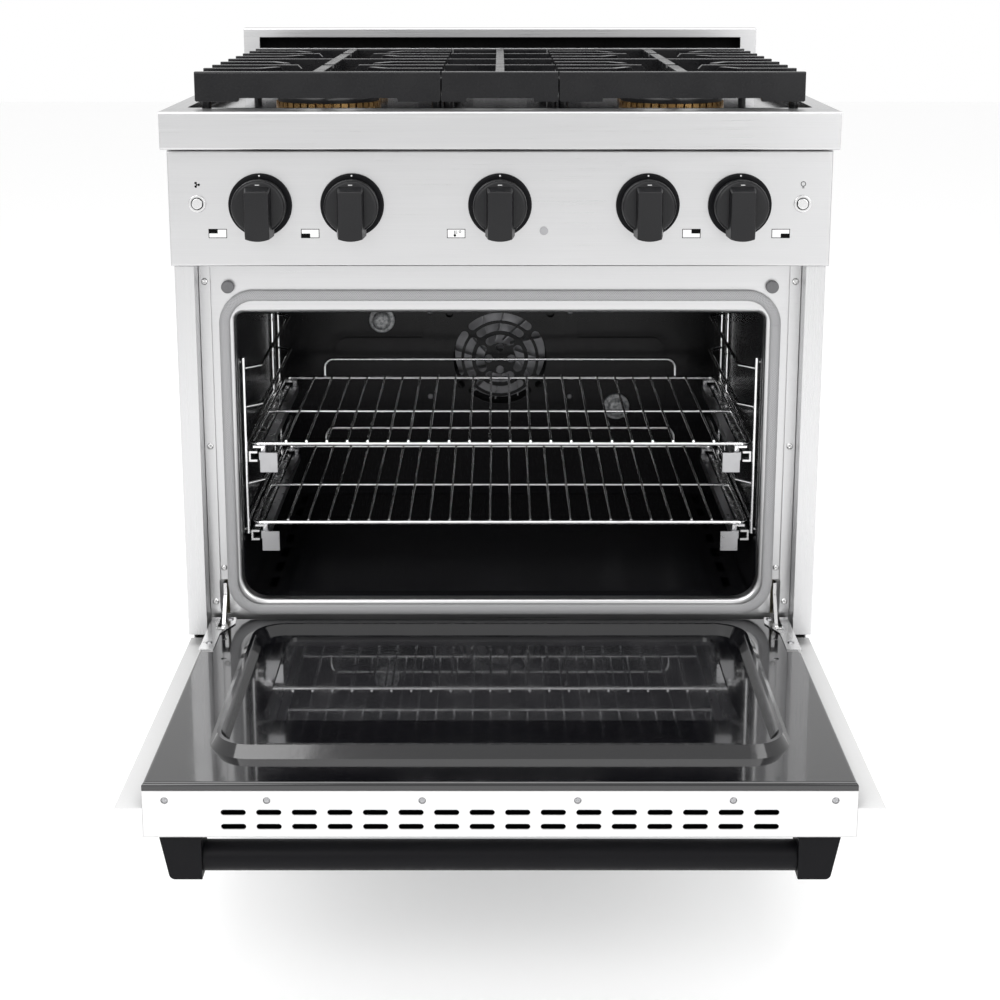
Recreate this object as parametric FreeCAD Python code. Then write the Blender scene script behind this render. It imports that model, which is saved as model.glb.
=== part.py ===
"""Freestanding gas range, 30 inch class, shown with its oven door open.

Millimetres, +Z up, the front faces -Y. The parts are drawn with y = 0 on the front trim and z = 0 on
the floor, then moved along Y so that the origin is the bottom centre of the whole object's box.
The door is drawn shut and then swung open about its hinge line, so it is open at rest.
"""
import FreeCAD, Part
import math
import os

V = FreeCAD.Vector
X_AXIS, Y_AXIS, Z_AXIS = V(1, 0, 0), V(0, 1, 0), V(0, 0, 1)

# ---------------------------------------------------------------- driving dimensions
SHEET = 1.5                 # thickness of the sheet metal
COOKTOP_Z = 914.0           # standard counter height
WELL_Z, WELL_W = 902.0, 714.0   # the sunken part of the top that the burners stand in
TRIM_W, TRIM_H, TRIM_D = 759.0, 42.5, 44.0
PANEL_W, PANEL_Y = 754.0, 27.0
PANEL_Z0, PANEL_Z1 = 736.0, 868.0
BODY_W, REAR_Y = 751.0, 700.0
COLUMN_Y, COLUMN_W, COLUMN_Z0 = 40.0, 22.5, 284.0
LEG_H = 100.0
KICK_Y, KICK_TOP = 74.0, 266.0
FRAME_Y = 72.0              # face of the frame round the oven's mouth
STRIP_Y = 69.0              # face of the screw strips beside it
MOUTH_W, MOUTH_Z0, MOUTH_Z1 = 626.0, 317.0, 673.0
MOUTH_LOW_R, MOUTH_HIGH_R = 30.0, 12.0
MOUTH_BEND = 6.0            # radius of the rolled edge round the mouth
MOUTH_DEPTH = 14.0          # depth of the flange that turns into the oven
CAVITY_W, CAVITY_Z0, CAVITY_Z1 = 624.0, 270.0, 728.0
CAVITY_Y0 = FRAME_Y + MOUTH_DEPTH
CAVITY_Y1 = 560.0
CAVITY_WALL = 2.0
GASKET_W, GASKET_Z0, GASKET_Z1, GASKET_R, GASKET_T = 661.0, 299.5, 700.5, 41.0, 12.5
GASKET_FRONT = 65.5

HINGE_Y, HINGE_Z = 54.5, 285.5
DOOR_W, DOOR_Z0, DOOR_Z1 = 755.0, 272.0, 732.0
DOOR_FACE_Y, DOOR_LEDGE_Y, DOOR_INNER_Y = 7.0, 38.5, 65.0
LINER_W = 700.0
RIM_W, RIM_Z0, RIM_Z1 = 596.0, 316.0, 677.0     # foot of the raised rim that fits into the mouth
RIM_CREST_Y, RIM_R = 77.0, 46.0
RIM_SLOPE, RIM_WALL = 8.0, 4.0
PAN_Y = 66.0                # the flat bottom inside the rim
WINDOW_W, WINDOW_Z0, WINDOW_Z1 = 502.0, 343.0, 584.0
OUTER_GLASS_W, OUTER_GLASS_Z0, OUTER_GLASS_Z1 = 514.0, 348.0, 592.0
HINGE_X = 335.0
BRACKET_X = 297.0           # inner side of the handle's brackets

GUARD_Y, GUARD_TOP = 676.0, 980.5
GRATE_TOP, GRATE_FRONT, GRATE_BACK = 955.0, 47.0, 595.0
GRATE_EDGES = (-346.0, -67.5, -66.0, 66.0, 67.5, 346.0)
GRATE_ROWS = 9
BAR, BAR_H = 12.0, 17.0     # width and height of a grate's bars
FINGER = 10.0               # width of the fingers that reach over a burner
GRATE_LOW = 921.5           # underside of a grate's front and back faces
BURNER_X = 206.75
KNOB_Z = 806.5
KNOB_R, KNOB_GAP = 30.5, 3.3
BEZEL_R, BEZEL_T = 36.2, 3.5
LENS_X, LENS_Z = 50.0, 777.0
BUTTON_X, BUTTON_Z = 344.0, 808.0
RACK_HEIGHTS = {"rack_upper": 503.0, "rack_lower": 403.0}
RACK_Y0, RACK_Y1 = 112.0, 470.0
FAN_Z, FAN_R = 513.0, 66.0
COVER_RINGS = (             # radius, width, then how far the upper, side and lower slots reach
    (62.0, 11.5, 40, 34, 19),
    (46.5, 11.0, 38, 34, 30),
    (29.0, 12.5, 30, 28, 28),
)
LAMPS = ((-171.0, 570.0), (170.0, 441.0))

LEG_X, LEG_YS = 330.0, {"front": 112.0, "rear": 640.0}
ROW_PITCH = (GRATE_BACK - GRATE_FRONT) / (GRATE_ROWS - 1)
BURNERS = {                 # name: (x, y, radius of the brass head)
    "front_left": (-BURNER_X, GRATE_FRONT + 2 * ROW_PITCH, 63.0),
    "front_right": (BURNER_X, GRATE_FRONT + 2 * ROW_PITCH, 63.0),
    "rear_left": (-BURNER_X, GRATE_FRONT + 6 * ROW_PITCH, 55.0),
    "rear_right": (BURNER_X, GRATE_FRONT + 6 * ROW_PITCH, 48.0),
}
KNOBS = {
    "outer_left": -272.5,
    "inner_left": -168.0,
    "oven": 0.0,
    "inner_right": 168.0,
    "outer_right": 272.5,
}
DOOR_REACH_Y = HINGE_Y + HINGE_Z - DOOR_Z1      # front edge of the open door
ORIGIN_Y = (DOOR_REACH_Y + REAR_Y) / 2

os.makedirs("parts", exist_ok=True)


# ---------------------------------------------------------------- helpers
def box(x, y, z):
    """A box from (low, high) pairs."""
    return Part.makeBox(x[1] - x[0], y[1] - y[0], z[1] - z[0], V(x[0], y[0], z[0]))


def wide(half, y, z):
    """A box centred on x = 0."""
    return box((-half, half), y, z)


def rod(start, axis, length, radius):
    return Part.makeCylinder(radius, length, V(*start), axis)


def wire_rod(a, b, radius):
    """A round wire from point a to point b."""
    a, b = V(*a), V(*b)
    return Part.makeCylinder(radius, (b - a).Length, a, b - a)


def bent_wire(points, radius):
    """Round wire through the points, with a ball at each bend."""
    spans = [wire_rod(a, b, radius) for a, b in zip(points, points[1:])]
    return fuse(spans + [Part.makeSphere(radius, V(*p)) for p in points[1:-1]])


def round_loop(x, y, z, corner, radius):
    """A flat rectangular loop of round wire with rounded corners."""
    bend = corner * (1 - math.sqrt(0.5))
    path = []
    ring = [(x[0], y[0], 1, 1), (x[1], y[0], -1, 1), (x[1], y[1], -1, -1), (x[0], y[1], 1, -1)]
    for n, (cx, cy, sx, sy) in enumerate(ring):
        along_x = V(cx + sx * corner, cy, z)
        along_y = V(cx, cy + sy * corner, z)
        middle = V(cx + sx * bend, cy + sy * bend, z)
        path.append((along_y, middle, along_x) if n % 2 == 0 else (along_x, middle, along_y))
    edges = []
    for n, (start, middle, end) in enumerate(path):
        edges.append(Part.Arc(start, middle, end).toShape())
        edges.append(Part.LineSegment(end, path[(n + 1) % 4][0]).toShape())
    start = path[0][2]
    profile = Part.Wire([Part.makeCircle(radius, start, X_AXIS)])
    wire = Part.Wire(edges[1:] + edges[:1])
    return wire.makePipeShell([profile], True, False)


def fuse(shapes):
    whole = shapes[0].fuse(shapes[1:]) if len(shapes) > 1 else shapes[0]
    return whole.removeSplitter()


def cut(shape, tools):
    return shape.cut(tools) if tools else shape


def mirrored(shape):
    return shape.mirror(V(0, 0, 0), X_AXIS)


def both_sides(shape):
    return [shape, mirrored(shape)]


def prism_y(points, y):
    """An (x, z) outline pushed along Y."""
    corners = [V(px, y[0], pz) for px, pz in points]
    return Part.Face(Part.makePolygon(corners + corners[:1])).extrude(V(0, y[1] - y[0], 0))


def prism_x(points, x):
    """A (y, z) outline pushed along X."""
    corners = [V(x[0], py, pz) for py, pz in points]
    return Part.Face(Part.makePolygon(corners + corners[:1])).extrude(V(x[1] - x[0], 0, 0))


def rounded(x, z, y, low_r, high_r=None):
    """A block pushed along Y whose (x, z) outline has rounded lower and upper corners."""
    block = box(x, y, z)
    high_r = low_r if high_r is None else high_r
    for radius, level in ((low_r, z[0]), (high_r, z[1])):
        if radius:
            corner = [e for e in block.Edges if upright(e) and abs(e.Vertexes[0].Z - level) < 0.01]
            block = block.makeFillet(radius, corner)
    return block


def outline(half, z, radius, y):
    """A closed wire in the XZ plane: a rectangle centred on x = 0 with four equal round corners."""
    face = rounded((-half, half), z, (y, y + 1), radius)
    flat = [f for f in face.Faces if all(abs(v.Y - y) < 1e-6 for v in f.Vertexes)]
    return flat[0].OuterWire


def tapered_block(front, back):
    """A block between two outlines, each (half width, z pair, corner radius, y)."""
    return Part.makeLoft([outline(*front), outline(*back)], True, True)


def ribbon(points, width, z):
    """A flat bar of one width along a bent path in plan, with mitred bends."""
    ways = [V(b[0] - a[0], b[1] - a[1], 0).normalize() for a, b in zip(points, points[1:])]
    left, right = [], []
    for n, (px, py) in enumerate(points):
        before, after = ways[max(n - 1, 0)], ways[min(n, len(ways) - 1)]
        middle = (before + after).normalize()
        reach = width / 2 / middle.dot(after)
        side = V(-middle.y, middle.x, 0) * reach
        left.append(V(px, py, z[0]) + side)
        right.append(V(px, py, z[0]) - side)
    corners = left + right[::-1]
    return Part.Face(Part.makePolygon(corners + corners[:1])).extrude(V(0, 0, z[1] - z[0]))


def upright(edge):
    """Whether an edge is straight and runs along Y."""
    if len(edge.Vertexes) < 2 or not isinstance(edge.Curve, Part.Line):
        return False
    return abs(abs(edge.tangentAt(edge.FirstParameter).y) - 1) < 1e-6


def soften(shape, radius, keep):
    """Rounds the edges that the test keeps."""
    return shape.makeFillet(radius, [e for e in shape.Edges if keep(e)])


def arc_slot(centre, radius, width, start, end, y):
    """A slot along an arc in the XZ plane, with round ends, angles in degrees."""
    def at(r, a):
        a = math.radians(a)
        return V(centre[0] + r * math.cos(a), y[0], centre[1] + r * math.sin(a))
    half, mid = width / 2, (start + end) / 2
    cap = math.degrees(half / radius)
    edges = [
        Part.Arc(at(radius + half, start), at(radius + half, mid), at(radius + half, end)),
        Part.Arc(at(radius + half, end), at(radius, end + cap), at(radius - half, end)),
        Part.Arc(at(radius - half, end), at(radius - half, mid), at(radius - half, start)),
        Part.Arc(at(radius - half, start), at(radius, start - cap), at(radius + half, start)),
    ]
    outline = Part.Wire([e.toShape() for e in edges])
    return Part.Face(outline).extrude(V(0, y[1] - y[0], 0))


def slot_z(x, y, length, width, z):
    """A round-ended slot that runs along X, cut through along Z."""
    half = (length - width) / 2
    middle = box((x - half, x + half), (y - width / 2, y + width / 2), z)
    ends = [rod((x + s * half, y, z[0]), Z_AXIS, z[1] - z[0], width / 2) for s in (-1, 1)]
    return fuse([middle] + ends)


def slot_y(x, z, length, width, y):
    """A round-ended slot that runs along X, cut through along Y."""
    half = (length - width) / 2
    middle = box((x - half, x + half), y, (z - width / 2, z + width / 2))
    ends = [rod((x + s * half, y[0], z), Y_AXIS, y[1] - y[0], width / 2) for s in (-1, 1)]
    return fuse([middle] + ends)


def save(name, solids, swing=False):
    """Writes one node. A door part is swung open about the hinge line first."""
    shape = Part.makeCompound(solids) if isinstance(solids, list) else solids
    if isinstance(solids, list) and len(solids) == 1:
        shape = solids[0]
    shape = shape.copy()
    if swing:
        shape.rotate(V(0, HINGE_Y, HINGE_Z), X_AXIS, 90)
    shape.translate(V(0, -ORIGIN_Y, 0))
    count = len(shape.Solids)
    shape.exportStep(f"parts/{name}.step")
    print(f"{name}: {count} solid(s), valid {shape.isValid()}")


# ---------------------------------------------------------------- casing
def side_panel():
    """The left side: a sheet whose front edge folds into a square column beside the oven."""
    out, inner = -BODY_W / 2, -BODY_W / 2 + SHEET
    column = -BODY_W / 2 + COLUMN_W
    top = COOKTOP_Z - TRIM_H
    pieces = [
        box((out, inner), (COLUMN_Y, REAR_Y), (COLUMN_Z0, PANEL_Z0 - 2)),
        box((out, inner), (PANEL_Y + 45, REAR_Y), (PANEL_Z0 - 3, top)),
        box((out, inner), (KICK_Y + 2, REAR_Y), (LEG_H, COLUMN_Z0 + 1)),
        box((out, column), (COLUMN_Y, COLUMN_Y + SHEET), (COLUMN_Z0, PANEL_Z0 - 2)),
        box((column - SHEET, column), (COLUMN_Y, FRAME_Y + 8), (COLUMN_Z0, PANEL_Z0 - 2)),
    ]
    panel = fuse(pieces)
    return soften(panel, 1.2, lambda e: abs(e.Vertexes[0].X - out) < 0.01
                  and all(abs(v.X - out) < 0.01 and abs(v.Y - COLUMN_Y) < 0.01 for v in e.Vertexes))


def rear_panel():
    """The back sheet, with rows of cooling slots. It stops above the gas connection."""
    sheet = wide(BODY_W / 2 - 2, (REAR_Y - SHEET, REAR_Y), (210, COOKTOP_Z - TRIM_H - 1))
    slots = [
        slot_y(x, z, 60, 8, (REAR_Y - 3, REAR_Y + 1))
        for x in range(-240, 241, 80)
        for z in (330, 350, 370, 700, 720, 740)
    ]
    return cut(sheet, slots)


def base_frame():
    """The floor pan, with turned-up edges and a threaded socket for each leg."""
    half, low = BODY_W / 2 - 2, LEG_H
    pan = cut(wide(half, (KICK_Y + 4, REAR_Y - 2), (low, low + 30)),
              [wide(half - SHEET, (KICK_Y + 4 + SHEET, REAR_Y - 2 - SHEET), (low + SHEET, low + 31))])
    sockets = [rod((sx * LEG_X, y, low), Z_AXIS, 28, 12) for sx in (-1, 1) for y in LEG_YS.values()]
    bores = [rod((sx * LEG_X, y, low - 1), Z_AXIS, 40, 6.06) for sx in (-1, 1) for y in LEG_YS.values()]
    return cut(fuse([pan] + sockets), bores)


def leg(x, y):
    """A levelling leg: a wide foot, a round shell and a stud that screws up into the base."""
    foot = rod((x, y, 0), Z_AXIS, 9, 23)
    foot = soften(foot, 2.5, lambda e: e.Length > 100)
    shell = rod((x, y, 8), Z_AXIS, LEG_H - 8.3, 19)
    stud = rod((x, y, 50), Z_AXIS, 70, 6)
    return fuse([foot, shell, stud])


def kick_panel():
    """The lower front panel, folded back at its top and bottom, with air slots."""
    half = BODY_W / 2 - 2
    face = wide(half, (KICK_Y, KICK_Y + SHEET), (LEG_H + 4, KICK_TOP))
    folds = [wide(half, (KICK_Y, KICK_Y + 3.5), (LEG_H + 4, LEG_H + 4 + SHEET)),
             wide(half, (KICK_Y, KICK_Y + 60), (KICK_TOP - SHEET, KICK_TOP))]
    slots = [slot_y(x, 135, 70, 7, (KICK_Y - 1, KICK_Y + 3)) for x in range(-270, 271, 90)]
    return cut(fuse([face] + folds), slots)


# ---------------------------------------------------------------- oven
def mouth(grow, y):
    """The oven mouth's outline as a block, grown on every side."""
    half = MOUTH_W / 2 + grow
    z = (MOUTH_Z0 - grow, MOUTH_Z1 + grow)
    return rounded((-half, half), z, y, MOUTH_LOW_R + grow, MOUTH_HIGH_R + grow)


def front_frame():
    """The steel frame round the oven's mouth, with a rolled edge, a flange turned in and a strip each side."""
    half = BODY_W / 2 - COLUMN_W - 0.5
    plate = wide(half, (FRAME_Y, FRAME_Y + SHEET), (COLUMN_Z0 - 8, PANEL_Z0 - 2))
    roll = mouth(MOUTH_BEND, (FRAME_Y, FRAME_Y + MOUTH_BEND))
    flange = mouth(SHEET, (FRAME_Y, CAVITY_Y0))
    strips = [box((s * 346 - 6.5, s * 346 + 6.5), (STRIP_Y, FRAME_Y + 0.2), (COLUMN_Z0 + 22, PANEL_Z0 - 2))
              for s in (-1, 1)]
    slots = [box((s * HINGE_X - 5.5, s * HINGE_X + 5.5), (STRIP_Y - 1, FRAME_Y + 3), (HINGE_Z + 14, 343))
             for s in (-1, 1)]
    frame = cut(fuse([plate, roll, flange] + strips), [mouth(0, (FRAME_Y - 1, CAVITY_Y0 + 1))] + slots)
    return soften(frame, MOUTH_BEND - 0.5, on_mouth_edge)


def on_mouth_edge(edge):
    """Whether an edge lies on the front of the mouth."""
    return all(abs(v.Y - FRAME_Y) < 0.01 and abs(v.X) < MOUTH_W / 2 + 0.01
               and MOUTH_Z0 - 0.01 < v.Z < MOUTH_Z1 + 0.01 for v in edge.Vertexes)


def fan_chamber(radius, y):
    return rod((0, y[0], FAN_Z), Y_AXIS, y[1] - y[0], radius)


def oven_cavity():
    """The enamelled box, open at the mouth: plates that meet edge to edge, and a round fan chamber behind."""
    half, wall = CAVITY_W / 2, CAVITY_WALL
    y, z = (CAVITY_Y0, CAVITY_Y1), (CAVITY_Z0, CAVITY_Z1)
    lip_y, low, high = (y[0], y[0] + wall), MOUTH_Z0 - SHEET, MOUTH_Z1 + SHEET
    plates = [wide(half + wall, y, (z[0] - wall, z[0])), wide(half + wall, y, (z[1], z[1] + wall)),
              wide(half, lip_y, (z[0], low)), wide(half, lip_y, (high, z[1]))]
    for s in (-1, 1):
        wall_x, ledge_x = sorted((s * half, s * (half + wall))), sorted((s * half, s * (half - 14)))
        plates.append(box(wall_x, y, z))
        plates.append(box(ledge_x, (y[0] + 12, y[1]), (302, 304)))
    webs = [wide(half, lip_y, (low, low + MOUTH_LOW_R)), wide(half, lip_y, (high - MOUTH_HIGH_R, high))]
    corners = [solid for web in webs for solid in web.cut(mouth(SHEET, (y[0] - 1, y[0] + wall + 1))).Solids]

    back = wide(half + wall, (y[1], y[1] + wall), (z[0] - wall, z[1] + wall))
    ridge = rounded((-240, 240), (FAN_Z - 76, FAN_Z + 30), (y[1] - 4, y[1] + 1), 20)
    lamp_holes = [rod((x, y[1] - 6, level), Y_AXIS, 12, 14.3) for x, level in LAMPS]
    lamp_holes += [rod((x, y[1] - 6, level), Y_AXIS, 6, 19.5) for x, level in LAMPS]
    back = cut(fuse([back, ridge]), [fan_chamber(72.5, (y[1] - 6, y[1] + wall + 1))] + lamp_holes)
    cup = cut(fan_chamber(75, (y[1] + wall, y[1] + 40)),
              [fan_chamber(72.5, (y[1], y[1] + 38)), rod((0, y[1] + 30, FAN_Z), Y_AXIS, 20, 6)])
    return plates + corners + [back, cup]


def oven_floor():
    """The loose floor plate over the bake burner: a raised middle and slots for the heat at its sides."""
    half = CAVITY_W / 2 - 3
    plate = wide(half, (CAVITY_Y0 + 14, CAVITY_Y1 - 3), (304.3, 306.3))
    middle = wide(half - 45, (CAVITY_Y0 + 40, CAVITY_Y1 - 30), (304.3, 309.3))
    hollow = wide(half - 48, (CAVITY_Y0 + 43, CAVITY_Y1 - 33), (303, 307.8))
    slots = [box((s * (half - 22) - 5, s * (half - 22) + 5), (y, y + 40), (303, 308))
             for s in (-1, 1) for y in range(150, 520, 60)]
    return cut(fuse([plate, middle]), [hollow] + slots)


def fan_cover():
    """The plate in front of the fan: a raised middle pierced by three rings of curved slots, and two flanges."""
    y = (CAVITY_Y1 - 8.5, CAVITY_Y1 - 4)
    z = (FAN_Z - 74, FAN_Z + 79)
    middle = wide(94, y, z).cut(wide(94 - SHEET, (y[0] + SHEET, y[1] + 1), (z[0] + SHEET, z[1] - SHEET)))
    flange = wide(112, (y[1] - SHEET, y[1]), (z[0] + 1, z[1] - 1)).cut(wide(93, (y[0], y[1] + 1), z))
    through = (y[0] - 1, y[1] + 1)
    slots = []
    for radius, width, upper, up, down in COVER_RINGS:
        spans = [(90 - upper, 90 + upper), (270 - upper, 270 + upper), (-down, up), (180 - up, 180 + down)]
        for start, end in spans:
            slots.append(arc_slot((0, FAN_Z), radius, width, start, end, through))
    spots = [(s * x, FAN_Z + rise, 5.7) for s in (-1, 1) for x, rise in ((73, 66.5), (56.5, -38.2))]
    spots += [(16.5 * dx, FAN_Z + 16.5 * dz, 6.0) for dx, dz in ((1, 0), (-1, 0), (0, 1), (0, -1))]
    holes = [rod((x, through[0], level), Y_AXIS, y[1] - y[0] + 2, r) for x, level, r in spots]
    return cut(fuse([middle, flange]), slots + holes)


def fan_wheel():
    """The convection fan: a back plate, twelve folded blades, a hub and its shaft."""
    back = CAVITY_Y1 + 30
    plate = rod((0, back, FAN_Z), Y_AXIS, 1.5, FAN_R)
    hub = rod((0, back - 18, FAN_Z), Y_AXIS, 19, 11)
    shaft = rod((0, back - 22, FAN_Z), Y_AXIS, 74, 4)
    blade = box((20, FAN_R), (back - 20, back + 0.2), (FAN_Z - 0.8, FAN_Z + 0.8))
    blade.rotate(V(43, back, FAN_Z), Y_AXIS, 18)
    blades = []
    for n in range(12):
        one = blade.copy()
        one.rotate(V(0, 0, FAN_Z), Y_AXIS, 30 * n)
        blades.append(one)
    trim = rod((0, back - 30, FAN_Z), Y_AXIS, 120, FAN_R)
    return fuse([plate, hub, shaft] + blades).common(trim)


def fan_motor():
    """The motor behind the oven: a can on a mounting bar, bored for the fan's shaft."""
    front = CAVITY_Y1 + 40.5
    can = soften(rod((0, front + 4, FAN_Z), Y_AXIS, 46, 34), 4, lambda e: e.Length > 150)
    bar = box((-70, 70), (front, front + 4.2), (FAN_Z - 15, FAN_Z + 15))
    return cut(fuse([can, bar]), [rod((0, front - 1, FAN_Z), Y_AXIS, 46, 4.06)])


def oven_lamp(x, z):
    """A lamp in the back wall: a glass dome on a screw collar."""
    collar = soften(rod((x, CAVITY_Y1 - 9, z), Y_AXIS, 9, 19), 2, lambda e: e.Vertexes[0].Y < CAVITY_Y1 - 8)
    dome = soften(rod((x, CAVITY_Y1 - 22, z), Y_AXIS, 16, 13), 6, lambda e: e.Vertexes[0].Y < CAVITY_Y1 - 21)
    body = rod((x, CAVITY_Y1 - 3, z), Y_AXIS, 30, 14)
    return fuse([collar, dome, body])


def door_gasket():
    """The rope seal round the mouth, flattened against the frame."""
    half, y = GASKET_W / 2, (GASKET_FRONT, FRAME_Y)
    z = (GASKET_Z0, GASKET_Z1)
    ring = rounded((-half, half), z, y, GASKET_R).cut(
        rounded((-half + GASKET_T, half - GASKET_T), (z[0] + GASKET_T, z[1] - GASKET_T),
                (y[0] - 1, y[1] + 1), GASKET_R - GASKET_T))
    return soften(ring, 5, lambda e: all(abs(v.Y - GASKET_FRONT) < 0.01 for v in e.Vertexes))


def side_rack():
    """The left wire ladder that holds the glides: posts joined by five rungs, three of them bowed inwards."""
    x, wire, posts_y = -309.0, 2.5, (104, 385, 452)
    bow, rung = 19, 2.1
    posts = [wire_rod((x, y, 392), (x, y, 612), wire) for y in posts_y]
    rungs = [wire_rod((x, posts_y[0], z), (x, posts_y[2], z), rung) for z in (407, 503)]
    for z in (455, 551, 599):
        rungs.append(bent_wire([(x, posts_y[0], z), (x + bow, posts_y[0] + bow, z),
                                (x + bow, posts_y[2] - bow, z), (x, posts_y[2], z)], rung))
    pegs = [wire_rod((x, y, z), (-CAVITY_W / 2, y, z), 1.8) for y in (104, 452) for z in (397, 607)]
    return fuse(posts + rungs + pegs)


def glide_channel(z):
    """The fixed half of a telescopic glide, clipped to the ladder on the left."""
    outer = box((-305.5, -295.5), (106, 462), (z - 21, z - 8))
    groove = box((-303.5, -294), (100, 470), (z - 18.5, z - 10.5))
    clips = [box((-306.4, -303), (y, y + 14), (z - 25, z - 20.8)) for y in (120, 430)]
    return fuse([outer.cut(groove)] + clips)


def rack(z):
    """A wire rack: its mat, the wire stop at its back and the moving half of its two glides.

    Rods lie across three cross wires, and each glide runner has a folded tab at its front end.
    """
    edge, middle_r, rod_r, half, pitch = 2.5, 2.0, 1.5, 303.0, 24.8
    frame = round_loop((-half, half), (RACK_Y0, RACK_Y1), z, 9, edge)
    halfway = (RACK_Y0 + RACK_Y1) / 2 - 15
    middle = wire_rod((-half, halfway, z), (half, halfway, z), middle_r)
    rods = [wire_rod((pitch * (n - 10.5), RACK_Y0 - 2, z + 3.6),
                     (pitch * (n - 10.5), RACK_Y1 + 2, z + 3.6), rod_r) for n in range(22)]
    runner = box((-293.6, -284), (108, 464), (z - 19.5, z - 9.5))
    ends = (RACK_Y0 - 3, RACK_Y1 - 9)
    seats = [box((-291, -286), (y, y + 12), (z - 10, z - edge)) for y in ends]
    arms = [box((-301, -286), (y + 2, y + 10), (z - 5, z - edge)) for y in ends]
    tab = box((-292, -271), (104.5, 106), (z - 34, z - 9.5))
    neck = box((-292, -284.5), (105, 109), (z - 19, z - 10))
    glide = fuse([runner, tab, neck] + seats + arms)
    return [fuse([frame, middle] + rods), rack_stop(z, RACK_Y1 + edge)] + both_sides(glide)


def rack_stop(z, y):
    """The raised wire along a rack's back edge, bent round at its corners."""
    wire, half, rise, corner = 2.2, 247.0, 26.0, 12.0
    y += wire
    low, top, bend = z - 1, z + rise, corner * (1 - math.sqrt(0.5))
    left = Part.Arc(V(-half, y, top - corner), V(-half + bend, y, top - bend), V(-half + corner, y, top))
    right = Part.Arc(V(half - corner, y, top), V(half - bend, y, top - bend), V(half, y, top - corner))
    path = Part.Wire([
        Part.LineSegment(V(-half, y, low), V(-half, y, top - corner)).toShape(),
        left.toShape(),
        Part.LineSegment(V(-half + corner, y, top), V(half - corner, y, top)).toShape(),
        right.toShape(),
        Part.LineSegment(V(half, y, top - corner), V(half, y, low)).toShape(),
    ])
    profile = Part.Wire([Part.makeCircle(wire, V(-half, y, low), Z_AXIS)])
    return path.makePipeShell([profile], True, False)


def bake_burner():
    """A U-shaped steel tube burner under the oven floor."""
    z, r = 286.0, 9.0
    return bent_wire([(-110, CAVITY_Y1 - 20, z), (-110, 170, z), (110, 170, z), (110, CAVITY_Y1 - 20, z)], r)


def broil_burner():
    """The top burner: a box open at the bottom, hung from the oven's roof, with a pierced plate across it."""
    roof = CAVITY_Z1 - 0.5
    shell = soften(wide(150, (210, 460), (roof - 26, roof)), 4, lambda e: e.Length < 30)
    hollow = wide(148, (212, 458), (roof - 27, roof - 2))
    plate = wide(148.5, (211.5, 458.5), (roof - 21, roof - 19.5))
    ports = [slot_z(x, y, 44, 5, (roof - 22, roof - 19)) for x in range(-120, 121, 60)
             for y in range(235, 440, 20)]
    return fuse([shell.cut(hollow), cut(plate, ports)])


def insulation():
    """Mineral wool slabs at both sides and on top of the oven."""
    side = box((-340, -CAVITY_W / 2 - 3), (110, CAVITY_Y1 + 30), (275, CAVITY_Z1 - 2))
    roof = wide(340, (110, CAVITY_Y1 + 30), (CAVITY_Z1 + 3, CAVITY_Z1 + 26))
    return both_sides(side) + [roof]


# ---------------------------------------------------------------- cooktop
def front_trim():
    """The square nosing along the cooktop's front edge."""
    half, z = TRIM_W / 2, (COOKTOP_Z - TRIM_H, COOKTOP_Z)
    block = soften(wide(half, (0, TRIM_D), z), 2.5,
                   lambda e: all(abs(v.Y) < 0.01 for v in e.Vertexes) and e.Length > 100)
    hollow = wide(half - SHEET, (SHEET, TRIM_D + 1), (z[0] + SHEET, z[1] - SHEET))
    return block.cut(hollow)


def cooktop():
    """The steel top: a rim with skirts, a shallow well, and a pressed ring round each burner."""
    half, top = TRIM_W / 2, COOKTOP_Z
    y, well_y = (TRIM_D + 0.2, GUARD_Y - 0.2), (TRIM_D + 12, GUARD_Y - 30)
    sheet = wide(half, y, (top - SHEET, top))
    skirts = [box((s * half - (s > 0) * SHEET, s * half + (s < 0) * SHEET), y, (top - TRIM_H, top))
              for s in (-1, 1)]
    tub = wide(WELL_W / 2 + SHEET, (well_y[0] - SHEET, well_y[1] + SHEET), (WELL_Z - SHEET, top))
    well = soften(wide(WELL_W / 2, well_y, (WELL_Z, top + 1)), 8,
                  lambda e: abs(e.Vertexes[0].Z - e.Vertexes[-1].Z) > 5)
    rings = [rod((x, by, WELL_Z - 0.5), Z_AXIS, 1.7, r + 12) for x, by, r in BURNERS.values()]
    rings = [soften(ring, 1.0, lambda e: e.Length > 100 and e.Vertexes[0].Z > WELL_Z + 1) for ring in rings]
    holes = [rod((x, by, WELL_Z - 5), Z_AXIS, 10, r - 20) for x, by, r in BURNERS.values()]
    return cut(fuse([cut(fuse([sheet, tub] + skirts), [well])] + rings), holes)


def backguard():
    """The upright at the back: a thin steel box with a long flue slot in its face."""
    half = BODY_W / 2 - 0.5
    shell = soften(wide(half, (GUARD_Y, REAR_Y), (COOKTOP_Z - 40, GUARD_TOP)), 2,
                   lambda e: all(abs(v.Z - GUARD_TOP) < 0.01 for v in e.Vertexes) and e.Length > 100)
    hollow = wide(half - SHEET, (GUARD_Y + SHEET, REAR_Y - SHEET), (COOKTOP_Z - 41, GUARD_TOP - SHEET))
    slot = wide(352, (GUARD_Y - 1, GUARD_Y + 3), (951.5, 967.5))
    return shell.cut(hollow).cut(slot)


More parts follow.
